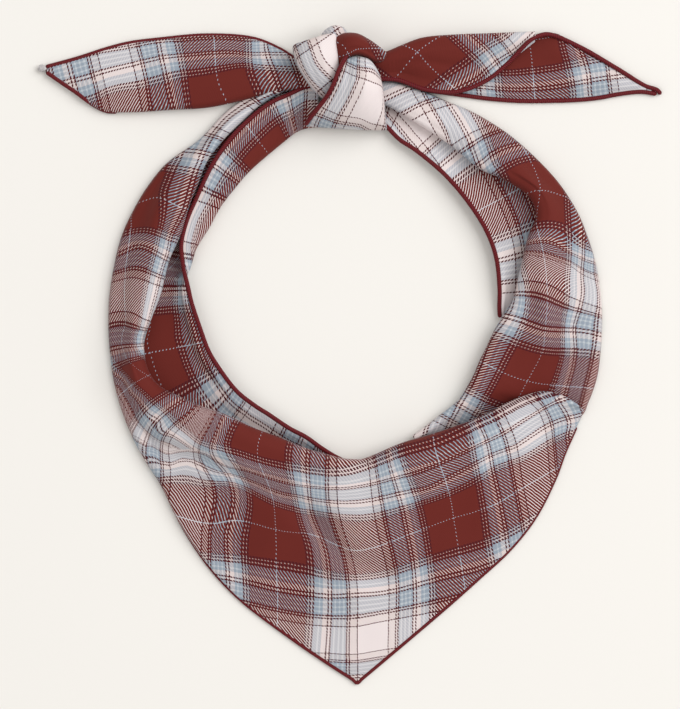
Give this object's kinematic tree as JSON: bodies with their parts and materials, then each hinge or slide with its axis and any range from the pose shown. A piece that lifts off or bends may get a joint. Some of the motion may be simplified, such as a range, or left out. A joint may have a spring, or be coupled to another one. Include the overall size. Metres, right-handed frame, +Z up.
{
  "type": "scarf",
  "caption": "Thin woven plaid triangle kerchief with a rolled hem, tied in a loop with a knot and two pointed tails, its point lying in front.",
  "frame": {"origin": "middle of the bounding box's bottom, on the surface that the scarf lies on", "axes": "+Z up from the surface it lies on, +Y towards the knot, so that the front point is at -Y, +X to the right seen from above"},
  "size_m": [0.279, 0.297, 0.0261],
  "materials": {
    "plaid_cloth": "thin twill plaid, burgundy red with pale pink and grey blue, soft sheen",
    "hem_thread": "dense burgundy overlock thread",
    "pale_thread": "pale knotted thread end"
  },
  "bodies": {
    "root": {"front_fold": "plaid_cloth", "side_fold_right": "plaid_cloth", "neck_border_left": "plaid_cloth", "neck_border_right": "plaid_cloth", "knot_lobe_front": "plaid_cloth", "knot_wrap_left": "plaid_cloth", "knot_lobe_top": "plaid_cloth", "tail_left": "plaid_cloth", "tail_right": "plaid_cloth", "thread_end": "pale_thread", "hem_knot": "hem_thread", "hem_neck_left": "hem_thread", "hem_neck_right": "hem_thread", "hem_point_left": "hem_thread", "hem_point_right": "hem_thread", "hem_tail_left": "hem_thread", "hem_tail_left_end": "hem_thread", "hem_tail_right_front": "hem_thread", "hem_tail_right_back": "hem_thread"}
  },
  "joints": []
}
